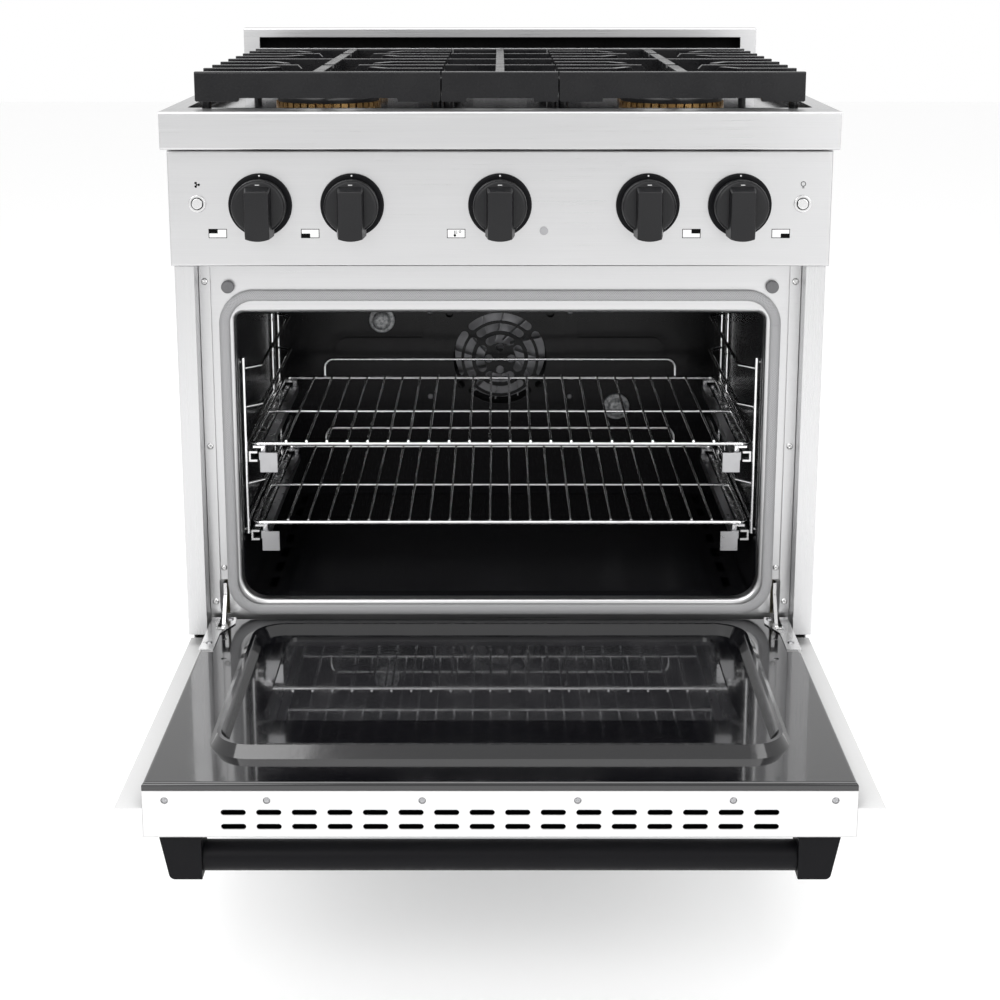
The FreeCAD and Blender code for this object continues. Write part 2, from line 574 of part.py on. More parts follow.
def burner_head(x, y, r):
    """A brass head: a toothed outer crown, a lower middle and an inner crown."""
    z = WELL_Z + 1.5
    crown = rod((x, y, z), Z_AXIS, 9.5, r).cut(rod((x, y, z + 3), Z_AXIS, 10, r - 8))
    plate = rod((x, y, z), Z_AXIS, 4, r - 7)
    middle = soften(rod((x, y, z), Z_AXIS, 15.5, r * 0.42), 1.5, lambda e: e.Vertexes[0].Z > z + 15)
    throat = rod((x, y, WELL_Z - 26), Z_AXIS, 28, r - 21)
    whole = fuse([crown, plate, middle, throat])
    teeth = []
    count = int(r * 0.64)
    for n in range(count):
        notch = box((x + r - 10, x + r + 2), (y - 1.1, y + 1.1), (z + 4, z + 12))
        notch.rotate(V(x, y, 0), Z_AXIS, 360 / count * n)
        teeth.append(notch)
    return cut(whole, teeth)


def burner_cap(x, y, r):
    """The black enamelled ring that sits on a head's outer crown."""
    z = WELL_Z + 11.2
    ring = rod((x, y, z), Z_AXIS, 6, r - 2).cut(rod((x, y, z - 1), Z_AXIS, 10, r * 0.46))
    return soften(ring, 2.5, lambda e: e.Length > 2 * math.pi * (r - 3) and e.Vertexes[0].Z > z + 5)


def igniter(x, y, r):
    """A ceramic spark electrode beside a burner."""
    cx, z = x + (r + 7) * math.cos(math.radians(50)), WELL_Z + 1.4
    cy = y + (r + 7) * math.sin(math.radians(50))
    return fuse([rod((cx, cy, z), Z_AXIS, 9, 3.2), rod((cx, cy, z), Z_AXIS, 13, 1.0)])


def grate_bar(points, width):
    """A grate finger along a path in plan, its last end chamfered on top."""
    bar = ribbon(points, width, (GRATE_TOP - BAR_H, GRATE_TOP))
    tip = V(points[-1][0], points[-1][1], GRATE_TOP)
    ends = [e for e in bar.Edges if all(v.Point.distanceToPoint(tip) < width * 0.55 for v in e.Vertexes)]
    return bar.makeChamfer(4.5, ends)


def grate_face(x0, x1, y, cut_x):
    """A deep front or back bar with a long shallow cut under its middle."""
    top, low, nick, rise = GRATE_TOP, GRATE_LOW, 1.5, 4.0
    corners = [(x0, top), (x1, top), (x1, low + nick), (x1 - nick, low), (cut_x[1], low),
               (cut_x[1] - 1, low + rise), (cut_x[0] + 1, low + rise), (cut_x[0], low),
               (x0 + nick, low), (x0, low + nick)]
    bar = prism_y(corners, (y - BAR / 2, y + BAR / 2))
    return soften(bar, 2.0, lambda e: e.Length > 60 and all(abs(v.Z - top) < 0.01 for v in e.Vertexes))


def grate_rows():
    span = GRATE_BACK - GRATE_FRONT - BAR
    return [GRATE_FRONT + BAR / 2 + n * span / (GRATE_ROWS - 1) for n in range(GRATE_ROWS)]


def grate_frame(x0, x1, cut_x):
    """The parts every grate has: the two faces, the two lower side rails and four feet."""
    ys, rail = grate_rows(), (GRATE_TOP - 26, GRATE_TOP - 9)
    faces = [grate_face(x0, x1, y, cut_x) for y in (ys[0], ys[-1])]
    rails = [box((x, x + BAR), (ys[0], ys[-1]), rail) for x in (x0, x1 - BAR)]
    feet = [rod((x, y, WELL_Z + 0.3), Z_AXIS, rail[0] - WELL_Z + 1, 5.5)
            for x in (x0 + BAR / 2, x1 - BAR / 2) for y in (ys[0] + 40, ys[-1] - 40)]
    return faces + rails + feet


def wide_grate(x0, x1):
    """A two-burner grate: a middle bar, and fingers reaching over each burner, four of them bent at the tip."""
    mid, ys = (x0 + x1) / 2, grate_rows()
    parts = grate_frame(x0, x1, (mid - 91, mid + 91))
    parts.append(box((x0, x1), (ys[4] - BAR / 2, ys[4] + BAR / 2), (GRATE_TOP - BAR_H, GRATE_TOP)))
    for row in (1, 2, 3, 5, 6, 7):
        for root, s in ((x0, -1), (x1, 1)):
            if row in (2, 6):
                path = [(root, ys[row]), (mid + s * 32, ys[row])]
            else:
                way = 29 if row in (1, 5) else -29
                path = [(root, ys[row]), (mid + s * 73, ys[row]), (mid + s * 53, ys[row] + way)]
            parts.append(grate_bar(path, FINGER))
    for root, centre in ((0, 2), (4, 2), (4, 6), (8, 6)):
        way = 1 if ys[centre] > ys[root] else -1
        parts.append(grate_bar([(mid, ys[root]), (mid, ys[centre] - way * 9)], BAR))
    return fuse(parts)


def centre_grate(x0, x1):
    """The narrow middle grate: one beam from front to back and three cross bars."""
    ys, height = grate_rows(), (GRATE_TOP - BAR_H, GRATE_TOP)
    parts = grate_frame(x0, x1, (-39, 39))
    parts.append(wide(FINGER / 2, (ys[0], ys[-1]), height))
    parts += [box((x0, x1), (ys[n] - 4.2, ys[n] + 4.2), height) for n in (2, 4, 6)]
    return fuse(parts)


# ---------------------------------------------------------------- controls
def control_panel():
    """The control box: a flat face with folded edges and holes for the controls."""
    half, z = PANEL_W / 2, (PANEL_Z0, PANEL_Z1)
    block = soften(wide(half, (PANEL_Y, PANEL_Y + 44), z), 2,
                   lambda e: all(abs(v.Y - PANEL_Y) < 0.01 for v in e.Vertexes) and e.Length > 50)
    hollow = wide(half - SHEET, (PANEL_Y + SHEET, PANEL_Y + 45), (z[0] + SHEET, z[1] - SHEET))
    spots = [(x, KNOB_Z, 9) for x in KNOBS.values()]
    spots += [(s * BUTTON_X, BUTTON_Z, 7.4) for s in (-1, 1)] + [(LENS_X, LENS_Z, 4.1)]
    holes = [rod((x, PANEL_Y - 1, level), Y_AXIS, 5, r) for x, level, r in spots]
    return cut(block.cut(hollow), holes)


def control_bezels():
    """The fixed round bezels behind the knobs, the rings round the two buttons and the indicator's lens."""
    bezels = []
    for x in KNOBS.values():
        disc = rod((x, PANEL_Y - BEZEL_T, KNOB_Z), Y_AXIS, BEZEL_T, BEZEL_R)
        disc = soften(disc, 1.8, lambda e: e.Vertexes[0].Y < PANEL_Y - BEZEL_T + 0.1)
        bezels.append(disc.cut(knob_bore(x, 9, PANEL_Y - BEZEL_T - 1, BEZEL_T + 2)))
    for s in (-1, 1):
        ring = rod((s * BUTTON_X, PANEL_Y - 1.8, BUTTON_Z), Y_AXIS, 1.8, 10)
        ring = soften(ring, 0.8, lambda e: e.Length > 20 and e.Vertexes[0].Y < PANEL_Y - 1)
        bezels.append(ring.cut(rod((s * BUTTON_X, PANEL_Y - 3, BUTTON_Z), Y_AXIS, 6, 7.2)))
    lens = [rod((LENS_X, PANEL_Y - 1.2, LENS_Z), Y_AXIS, 1.2, 4.8),
            rod((LENS_X, PANEL_Y - 0.6, LENS_Z), Y_AXIS, 9, 3.9)]
    return bezels + [fuse(lens)]


def push_button(x):
    """A round button on a thin plunger."""
    face = PANEL_Y - 3.2
    cap = soften(rod((x, face, BUTTON_Z), Y_AXIS, 12, 6.2), 0.9, lambda e: e.Vertexes[0].Y < face + 1)
    plunger = rod((x, face + 11, BUTTON_Z), Y_AXIS, 14, 3)
    return fuse([cap, plunger])


def knob_bore(x, radius, y, length):
    return rod((x, y, KNOB_Z), Y_AXIS, length, radius)


def knob(x):
    """A control knob: a domed drum with a long grip bar across it, hollow at the back."""
    back, drum_y, grip_y = PANEL_Y - BEZEL_T - KNOB_GAP, 3.0, -9.0
    drum = rod((0, drum_y, KNOB_Z), Y_AXIS, back - drum_y, KNOB_R)
    drum = soften(drum, 4, lambda e: e.Vertexes[0].Y < drum_y + 0.1)
    grip = tapered_block((13.5, (KNOB_Z - 39, KNOB_Z + 19), 3, grip_y),
                         (16.8, (KNOB_Z - 39, KNOB_Z + 27), 3, 12))
    grip = grip.common(rod((0, grip_y - 1, KNOB_Z), Y_AXIS, 30, 37))
    grip = soften(grip, 1.5, lambda e: all(abs(v.Y - grip_y) < 0.01 for v in e.Vertexes))
    hollow = rod((0, 8, KNOB_Z), Y_AXIS, 13, 27).cut(rod((0, 7, KNOB_Z), Y_AXIS, 15, 9))
    whole = fuse([drum, grip]).cut(hollow).cut(knob_bore(0, 4.06, drum_y + 0.2, 18))
    return whole.translated(V(x, 0, 0))


def knob_stem(x):
    """The valve's spindle, which the knob is pushed onto."""
    shaft = rod((x, PANEL_Y - 20, KNOB_Z), Y_AXIS, 67, 4)
    return soften(shaft, 0.5, lambda e: e.Vertexes[0].Y < PANEL_Y - 19)


def gas_manifold():
    """The gas pipe behind the panel, with a valve under each knob and the feed from the back."""
    y, r = 97.0, 9.0
    pipe = wire_rod((-330, y, KNOB_Z), (352, y, KNOB_Z), r)
    valves = [fuse([box((x - 14, x + 14), (56, y), (KNOB_Z - 16, KNOB_Z + 16)),
                    rod((x, 50, KNOB_Z), Y_AXIS, 8, 10)]) for x in KNOBS.values()]
    feed = bent_wire([(352, y, KNOB_Z), (352, 650, KNOB_Z), (352, 650, 150), (300, 650, 150)], 8)
    inlet = [rod((300, 640, 150), Y_AXIS, 26, 15), rod((300, 660, 150), Y_AXIS, 30, 10.5)]
    bores = [knob_bore(x, 4.06, 49, 27) for x in KNOBS.values()]
    return cut(fuse([pipe, feed] + valves + inlet), bores)


# ---------------------------------------------------------------- door, drawn shut
def door_skin():
    """The outer tray: a flat face, turned edges and a ledge down each side."""
    half, z = DOOR_W / 2, (DOOR_Z0, DOOR_Z1)
    tray = wide(half, (DOOR_FACE_Y, DOOR_LEDGE_Y), z)
    tray = soften(tray, 2.5, lambda e: all(abs(v.Y - DOOR_FACE_Y) < 0.01 for v in e.Vertexes))
    hollow = wide(half - SHEET, (DOOR_FACE_Y + SHEET, DOOR_LEDGE_Y - SHEET), (z[0] + SHEET, z[1] - SHEET))
    opening = wide(LINER_W / 2, (DOOR_LEDGE_Y - 5, DOOR_LEDGE_Y + 1), (z[0] - 1, z[1] + 1))
    band_gap = wide(LINER_W / 2, (DOOR_FACE_Y + SHEET, DOOR_LEDGE_Y + 1), (z[1] - 2, z[1] + 1))
    window = rounded((-OUTER_GLASS_W / 2, OUTER_GLASS_W / 2), (OUTER_GLASS_Z0, OUTER_GLASS_Z1),
                     (DOOR_FACE_Y - 1, DOOR_FACE_Y + 3), 12)
    return tray.cut(hollow).cut(opening).cut(band_gap).cut(window)


def door_top_band():
    """The strip that closes the door's top edge, with two rows of cooling slots."""
    half = LINER_W / 2 - 0.2
    y = (DOOR_FACE_Y + SHEET + 0.2, 56.5)
    strip = wide(half, y, (DOOR_Z1 - SHEET, DOOR_Z1))
    fold = wide(half, (y[1] - SHEET, y[1]), (DOOR_Z1 - 14, DOOR_Z1))
    slots = [slot_z(34.8 * (n - 7.5), row, 24.7, 6, (DOOR_Z1 - 3, DOOR_Z1 + 1))
             for n in range(16) for row in (19, 34)]
    return cut(fuse([strip, fold]), slots)


def door_liner():
    """The black inner panel: folded edges, and a raised rim round a flat bottom with the window in it."""
    half = LINER_W / 2
    y = (DOOR_LEDGE_Y, DOOR_INNER_Y)
    body = wide(half, y, (DOOR_Z0 + 4, DOOR_Z1 - 0.5))
    body = soften(body, 4, lambda e: all(abs(v.Y - DOOR_INNER_Y) < 0.01 for v in e.Vertexes))
    notch = wide(half + 1, (y[0] - 1, 56.8), (DOOR_Z1 - 16, DOOR_Z1 + 1))
    hollow = wide(half - SHEET, (y[0] - 1, y[1] - SHEET), (DOOR_Z0 + 4 + SHEET, DOOR_Z1 - 15))
    top_gap = wide(half - SHEET, (57, y[1] - SHEET), (DOOR_Z1 - 17, DOOR_Z1 - 4))
    foot, crest, well, floor = [rim_outline(inset, level) for inset, level in (
        (-RIM_SLOPE / 12, y[1] - 1), (RIM_SLOPE, RIM_CREST_Y),
        (RIM_SLOPE + RIM_WALL, RIM_CREST_Y), (2 * RIM_SLOPE + RIM_WALL, PAN_Y))]
    rim = tapered_block(foot, crest).cut(tapered_block(floor, well))
    window = window_outline(0, (y[0], PAN_Y + 1))
    slots = [box((s * HINGE_X - 4.5, s * HINGE_X + 4.5), (y[1] - 5, y[1] + 2), (DOOR_Z0 + 3, 319))
             for s in (-1, 1)]
    feet = [box((s * HINGE_X - 4.5, s * HINGE_X + 4.5), (HINGE_Y - 9, y[1] + 1), (DOOR_Z0 + 3, DOOR_Z0 + 7))
            for s in (-1, 1)]
    dimples = [Part.makeSphere(6, V(s * px, y[1] + 5, pz))
               for s in (-1, 1) for px, pz in ((325, 346), (317, 408))]
    return cut(fuse([body.cut(hollow).cut(notch).cut(top_gap), rim]), [window] + slots + feet + dimples)


def rim_outline(inset, y):
    """The rim's outline moved inwards, for one end of a tapered block."""
    return RIM_W / 2 - inset, (RIM_Z0 + inset, RIM_Z1 - inset), RIM_R - inset, y


def window_outline(grow, y):
    half = WINDOW_W / 2 + grow
    return rounded((-half, half), (WINDOW_Z0 - grow, WINDOW_Z1 + grow), y, 14 + grow)


def inner_glass():
    """The pane clamped behind the liner's window."""
    return window_outline(11, (DOOR_INNER_Y - SHEET - 4.1, DOOR_INNER_Y - SHEET - 0.1))


def outer_glass():
    half = OUTER_GLASS_W / 2 - 0.4
    pane = rounded((-half, half), (OUTER_GLASS_Z0 + 0.4, OUTER_GLASS_Z1 - 0.4),
                   (DOOR_FACE_Y + 0.1, DOOR_FACE_Y + 4), 11.6)
    back = wide(half + 12, (DOOR_FACE_Y + SHEET + 0.1, DOOR_FACE_Y + 4),
                (OUTER_GLASS_Z0 - 11, OUTER_GLASS_Z1 + 11))
    return fuse([pane, back])


def hinge_plate():
    """The left hinge's body: two cheeks in the door, a plate on its inner face and the pivot pin."""
    outline = [(-350, 277), (-321, 277), (-319, 297), (-333, 331), (-333, 383), (-350, 383)]
    plate = prism_y(outline, (DOOR_INNER_Y, DOOR_INNER_Y + SHEET))
    slot = box((-HINGE_X - 4.5, -HINGE_X + 4.5), (DOOR_INNER_Y - 1, DOOR_INNER_Y + 3), (270, 319))
    cheeks = [box((x, x + 2), (44, DOOR_INNER_Y - SHEET), (279, 470)) for x in (-HINGE_X - 7, -HINGE_X + 5)]
    web = box((-HINGE_X - 7, -HINGE_X + 7), (44, 46), (279, 470))
    pin = rod((-HINGE_X - 7, HINGE_Y, HINGE_Z), X_AXIS, 14, 3)
    return [plate.cut(slot), fuse(cheeks + [web, pin])]


def hinge_arm():
    """The left arm, fixed in the frame's slot, that the door turns on."""
    x = (-HINGE_X - 2, -HINGE_X + 2)
    pivot, top = V(0, HINGE_Y, HINGE_Z), V(0, FRAME_Y + 5, HINGE_Z + 34)
    way = (top - pivot).normalize()
    side = V(0, -way.z, way.y) * 5.0
    corners = [pivot + side, top + side, top - side, pivot - side]
    bar = prism_x([(c.y, c.z) for c in corners], x)
    eye = rod((x[0], HINGE_Y, HINGE_Z), X_AXIS, 4, 7)
    hook = box(x, (FRAME_Y + 2, FRAME_Y + 12), (HINGE_Z + 16, HINGE_Z + 52))
    return fuse([bar, eye, hook]).cut(rod((x[0] - 1, HINGE_Y, HINGE_Z), X_AXIS, 6, 3.06))


def handle_bar():
    """A tube between the two brackets."""
    y, z, half = -30.0, 695.0, BRACKET_X - 0.2
    tube = rod((-half, y, z), X_AXIS, 2 * half, 15.5)
    return tube.cut(rod((-half - 1, y, z), X_AXIS, 2 * half + 2, 13.3))


def handle_bracket():
    """The left bracket: a block that narrows away from the door and takes the bar's end."""
    foot, tip = -BRACKET_X + 4, -47.5
    outline = [(-340, DOOR_FACE_Y - 0.1), (foot, DOOR_FACE_Y - 0.1), (foot, 0), (-BRACKET_X, -4),
               (-BRACKET_X, tip), (-329, tip)]
    corners = [V(px, py, 676.5) for px, py in outline]
    block = Part.Face(Part.makePolygon(corners + corners[:1])).extrude(V(0, 0, 37))
    return soften(block, 6, lambda e: all(v.X < -316 and v.Y < -40 for v in e.Vertexes))


def screw(x, y, z, axis, radius=4.0, height=1.8):
    """A low round head that faces along the axis."""
    head = rod((x, y, z), axis, height, radius)
    far = V(x, y, z) + axis * height
    return soften(head, height * 0.55, lambda e: (e.Vertexes[0].Point - far).dot(axis) > -0.01)


def door_screws():
    """Screws in the door's top edge, sunk in the band, and on the hinge plates."""
    top = [rod((s * x, 46.6, DOOR_Z1 - SHEET), Z_AXIS, SHEET, 3.6) for s in (-1, 1) for x in (76, 228, 328)]
    plate = [screw(s * 327, DOOR_INNER_Y + SHEET, 283, Y_AXIS, 4, 1.6) for s in (-1, 1)]
    plate += [screw(s * 341, DOOR_INNER_Y + SHEET, 361, Y_AXIS, 4, 1.6) for s in (-1, 1)]
    return top, plate


# ---------------------------------------------------------------- write every node
save("side_panel_left", side_panel())
save("side_panel_right", mirrored(side_panel()))
save("rear_panel", rear_panel())
save("base_frame", base_frame())
save("kick_panel", kick_panel())
for side, sign in (("left", -1), ("right", 1)):
    for end, leg_y in LEG_YS.items():
        save(f"leg_{end}_{side}", leg(sign * LEG_X, leg_y))

save("front_frame", front_frame())
save("oven_cavity", oven_cavity())
save("oven_floor", oven_floor())
save("fan_cover", fan_cover())
save("convection_fan", fan_wheel())
save("fan_motor", fan_motor())
save("oven_lamps", [oven_lamp(x, z) for x, z in LAMPS])
save("door_gasket", door_gasket())
save("side_racks", both_sides(side_rack()))
save("glide_channels", [s for z in RACK_HEIGHTS.values() for s in both_sides(glide_channel(z))])
for name, height in RACK_HEIGHTS.items():
    save(name, rack(height))
save("bake_burner", bake_burner())
save("broil_burner", broil_burner())
save("insulation", insulation())

save("front_trim", front_trim())
save("cooktop", cooktop())
save("backguard", backguard())
save("burner_heads", [burner_head(*b) for b in BURNERS.values()])
save("burner_caps", [burner_cap(*b) for b in BURNERS.values()])
save("igniters", [igniter(*b) for b in BURNERS.values()])
save("grate_left", wide_grate(*GRATE_EDGES[0:2]))
save("grate_centre", centre_grate(*GRATE_EDGES[2:4]))
save("grate_right", wide_grate(*GRATE_EDGES[4:6]))

save("control_panel", control_panel())
save("control_bezels", control_bezels())
save("fan_button", push_button(-BUTTON_X))
save("light_button", push_button(BUTTON_X))
save("gas_manifold", gas_manifold())
for name, x in KNOBS.items():
    save(f"knob_{name}", knob(x))
    save(f"stem_{name}", knob_stem(x))

strip_screws = [screw(s * 346, STRIP_Y, z, -Y_AXIS) for s in (-1, 1) for z in (316, 511.5, 711)]
save("frame_screws", strip_screws + [screw(s * 335, FRAME_Y, 358, -Y_AXIS, 3.6) for s in (-1, 1)])
save("door_bumpers", [soften(rod((s * 319, GASKET_FRONT, 704.6), Y_AXIS, FRAME_Y - GASKET_FRONT, 7.5), 1.5,
                             lambda e: e.Vertexes[0].Y < GASKET_FRONT + 0.5) for s in (-1, 1)])
save("hinge_arms", both_sides(hinge_arm()))

save("door_skin", door_skin(), swing=True)
band_screws, plate_screws = door_screws()
save("door_top_band", cut(door_top_band(), band_screws), swing=True)
save("door_screws", band_screws + plate_screws, swing=True)
save("door_liner", door_liner(), swing=True)
save("inner_glass", inner_glass(), swing=True)
save("outer_glass", outer_glass(), swing=True)
save("hinge_plates", [s for piece in hinge_plate() for s in both_sides(piece)], swing=True)
save("handle_bar", handle_bar(), swing=True)
save("handle_brackets", both_sides(handle_bracket()), swing=True)
print("origin at y =", ORIGIN_Y, "files:", len([f for f in os.listdir("parts") if f.endswith(".step")]))
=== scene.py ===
import math

import bmesh
import bpy
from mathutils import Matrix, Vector


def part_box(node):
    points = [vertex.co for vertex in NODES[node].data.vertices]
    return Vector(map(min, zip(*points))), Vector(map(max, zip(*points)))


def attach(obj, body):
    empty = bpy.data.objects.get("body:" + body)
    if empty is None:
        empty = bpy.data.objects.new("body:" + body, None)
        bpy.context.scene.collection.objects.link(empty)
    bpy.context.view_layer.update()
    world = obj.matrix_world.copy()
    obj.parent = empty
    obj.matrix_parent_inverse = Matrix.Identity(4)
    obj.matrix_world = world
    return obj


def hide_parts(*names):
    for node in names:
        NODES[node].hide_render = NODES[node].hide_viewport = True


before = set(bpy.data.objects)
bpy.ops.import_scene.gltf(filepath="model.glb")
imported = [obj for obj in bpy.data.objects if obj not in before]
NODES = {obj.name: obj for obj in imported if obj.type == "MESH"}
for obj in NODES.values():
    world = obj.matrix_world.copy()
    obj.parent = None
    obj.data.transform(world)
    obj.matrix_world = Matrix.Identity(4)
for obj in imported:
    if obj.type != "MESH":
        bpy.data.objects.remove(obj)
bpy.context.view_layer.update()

GRIP_DEPTH = 0.012          # from the front of a knob's grip back to the face of its drum
PRINT_LIFT = 0.00006        # how far a printed mark stands off the face under it
HEAD_ROUND = 3.2            # how flat a screw head's dome is before it falls away
RECESS_REACH, RECESS_HALF = 0.62, 0.14      # arm length and half width of a recess, over the radius


# ---------------------------------------------------------------- stage
def area_light(name, place, target, size, watts):
    data = bpy.data.lights.new(name, "AREA")
    data.shape = "RECTANGLE"
    data.size, data.size_y = size
    data.energy = watts
    lamp = bpy.data.objects.new(name, data)
    bpy.context.scene.collection.objects.link(lamp)
    lamp.location = place
    lamp.rotation_euler = (Vector(target) - Vector(place)).to_track_quat("-Z", "Y").to_euler()
    return lamp


def make_world(scene):
    """Soft white surroundings that light the object at less than full white, behind a pure white view."""
    world = bpy.data.worlds.new("studio")
    world.use_nodes = True
    nt = world.node_tree
    light = nt.nodes["Background"]
    light.inputs["Color"].default_value = (1, 1, 1, 1)
    light.inputs["Strength"].default_value = 0.80
    seen = nt.nodes.new("ShaderNodeBackground")
    seen.inputs["Color"].default_value = (1, 1, 1, 1)
    rays, pick = nt.nodes.new("ShaderNodeLightPath"), nt.nodes.new("ShaderNodeMixShader")
    nt.links.new(rays.outputs["Is Camera Ray"], pick.inputs["Fac"])
    nt.links.new(light.outputs[0], pick.inputs[1])
    nt.links.new(seen.outputs[0], pick.inputs[2])
    nt.links.new(pick.outputs[0], nt.nodes["World Output"].inputs["Surface"])
    scene.world = world
    scene.view_settings.view_transform = "Standard"


def make_stage():
    scene = bpy.context.scene
    make_world(scene)
    floor_mesh = bpy.data.meshes.new("floor")
    floor_mesh.from_pydata([(-12, -12, 0), (12, -12, 0), (12, 12, 0), (-12, 12, 0)], [], [(0, 1, 2, 3)])
    floor = bpy.data.objects.new("floor", floor_mesh)
    scene.collection.objects.link(floor)
    mat, _, bsdf = material("floor", (0.90, 0.90, 0.90), 0.0, 0.7, Emission_Strength=0.24)
    bsdf.inputs["Emission Color"].default_value = (1, 1, 1, 1)
    floor_mesh.materials.append(mat)

    area_light("key", (-1.9, -3.2, 2.6), (0, 0, 0.6), (2.6, 2.2), 62)
    area_light("fill", (2.1, -3.2, 1.8), (0, 0, 0.6), (2.4, 2.2), 40)
    area_light("top", (0.0, -0.3, 3.0), (0, 0, 0.8), (2.6, 2.0), 42)

    camera = bpy.data.cameras.new("camera")
    camera.sensor_width, camera.lens, camera.shift_y = 36, 65.7, -0.13
    eye = bpy.data.objects.new("camera", camera)
    scene.collection.objects.link(eye)
    eye.location = (0, -2.192, 1.080)
    eye.rotation_euler = (math.radians(90 - 12.71), 0, 0)
    scene.camera = eye


# ---------------------------------------------------------------- material helpers
def material(name, colour, metallic, roughness, **sockets):
    """A Principled material. Extra sockets are given by name with _ for a space."""
    mat = bpy.data.materials.new(name)
    mat.use_nodes = True
    bsdf = mat.node_tree.nodes["Principled BSDF"]
    bsdf.inputs["Base Color"].default_value = (*colour, 1)
    bsdf.inputs["Metallic"].default_value = metallic
    bsdf.inputs["Roughness"].default_value = roughness
    for key, value in sockets.items():
        bsdf.inputs[key.replace("_", " ")].default_value = value
    return mat, mat.node_tree, bsdf


def noise(nt, stretch, detail=3.0, rough=0.55, source="Object"):
    """Noise over the object's own coordinates, stretched per axis. Gives its 0 to 1 value."""
    where = nt.nodes.new("ShaderNodeTexCoord")
    scale = nt.nodes.new("ShaderNodeMapping")
    scale.inputs["Scale"].default_value = stretch
    nt.links.new(where.outputs[source], scale.inputs["Vector"])
    tex = nt.nodes.new("ShaderNodeTexNoise")
    tex.inputs["Scale"].default_value = 1.0
    tex.inputs["Detail"].default_value = detail
    tex.inputs["Roughness"].default_value = rough
    nt.links.new(scale.outputs["Vector"], tex.inputs["Vector"])
    return tex.outputs["Fac"]


def remap(nt, value, low, high, out_low, out_high):
    node = nt.nodes.new("ShaderNodeMapRange")
    node.inputs["From Min"].default_value, node.inputs["From Max"].default_value = low, high
    node.inputs["To Min"].default_value, node.inputs["To Max"].default_value = out_low, out_high
    nt.links.new(value, node.inputs["Value"])
    return node.outputs["Result"]


def blend_colours(nt, value, low, high):
    node = nt.nodes.new("ShaderNodeMix")
    node.data_type = "RGBA"
    nt.links.new(value, node.inputs["Factor"])
    node.inputs["A"].default_value, node.inputs["B"].default_value = (*low, 1), (*high, 1)
    return node.outputs["Result"]


def bump(nt, bsdf, height, distance, strength=1.0, under=None):
    node = nt.nodes.new("ShaderNodeBump")
    node.inputs["Strength"].default_value = strength
    node.inputs["Distance"].default_value = distance
    nt.links.new(height, node.inputs["Height"])
    if under:
        nt.links.new(under, node.inputs["Normal"])
    nt.links.new(node.outputs["Normal"], bsdf.inputs["Normal"])
    return node.outputs["Normal"]


def soft_edge(nt, radius):
    """Rounds the look of sharp edges, as a pressed or ground edge has."""
    node = nt.nodes.new("ShaderNodeBevel")
    node.samples = 4
    node.inputs["Radius"].default_value = radius
    return node.outputs["Normal"]


# ---------------------------------------------------------------- materials
def brushed(name, colour, roughness, grain, depth=0.00002, edge=0.0009):
    """Brushed steel. grain is the noise stretch: low along the brushing, high across it."""
    mat, nt, bsdf = material(name, colour, 1.0, roughness)
    fine = noise(nt, grain, 4.0, 0.7)
    cloud = noise(nt, (5, 5, 5), 2.0)
    shade = remap(nt, fine, 0.3, 0.7, 0.0, 1.0)
    nt.links.new(blend_colours(nt, shade, [c * 0.95 for c in colour], colour), bsdf.inputs["Base Color"])
    mixed = nt.nodes.new("ShaderNodeMath")
    mixed.operation = "MULTIPLY_ADD"
    nt.links.new(cloud, mixed.inputs[0])
    mixed.inputs[1].default_value = 0.5
    nt.links.new(fine, mixed.inputs[2])
    nt.links.new(remap(nt, mixed.outputs[0], 0.4, 1.1, roughness - 0.05, roughness + 0.06),
                 bsdf.inputs["Roughness"])
    bump(nt, bsdf, fine, depth, under=soft_edge(nt, edge))
    return mat


def enamel(name, colour, roughness, peel=0.00004, **sockets):
    """Fired enamel: glossy, with a faint orange peel and pin-point specks."""
    mat, nt, bsdf = material(name, colour, 0.0, roughness, **sockets)
    speck = noise(nt, (900, 900, 900), 1.0)
    nt.links.new(blend_colours(nt, remap(nt, speck, 0.68, 0.74, 0, 1), colour, [c + 0.02 for c in colour]),
                 bsdf.inputs["Base Color"])
    cloud = noise(nt, (14, 14, 14), 3.0)
    nt.links.new(remap(nt, cloud, 0.3, 0.7, roughness - 0.02, roughness + 0.05), bsdf.inputs["Roughness"])
    bump(nt, bsdf, noise(nt, (130, 130, 130), 2.0), peel)
    return mat


def grainy(name, colour, roughness, scale, depth, lift=0.02, edge=0.0, **sockets):
    """A matt surface with a fine cast or textured grain."""
    mat, nt, bsdf = material(name, colour, 0.0, roughness, **sockets)
    grain = noise(nt, (scale, scale, scale), 4.0, 0.65)
    nt.links.new(blend_colours(nt, remap(nt, grain, 0.35, 0.75, 0, 1), colour, [c + lift for c in colour]),
                 bsdf.inputs["Base Color"])
    cloud = noise(nt, (25, 25, 25), 2.0)
    nt.links.new(remap(nt, cloud, 0.3, 0.7, roughness - 0.06, roughness + 0.08), bsdf.inputs["Roughness"])
    bump(nt, bsdf, grain, depth, under=soft_edge(nt, edge) if edge else None)
    return mat


def polished(name, colour, roughness):
    """Bright metal with a slight drawn texture."""
    mat, nt, bsdf = material(name, colour, 1.0, roughness)
    cloud = noise(nt, (60, 60, 60), 3.0)
    nt.links.new(remap(nt, cloud, 0.3, 0.7, roughness - 0.04, roughness + 0.08), bsdf.inputs["Roughness"])
    bump(nt, bsdf, noise(nt, (400, 400, 400), 2.0), 0.000015)
    return mat


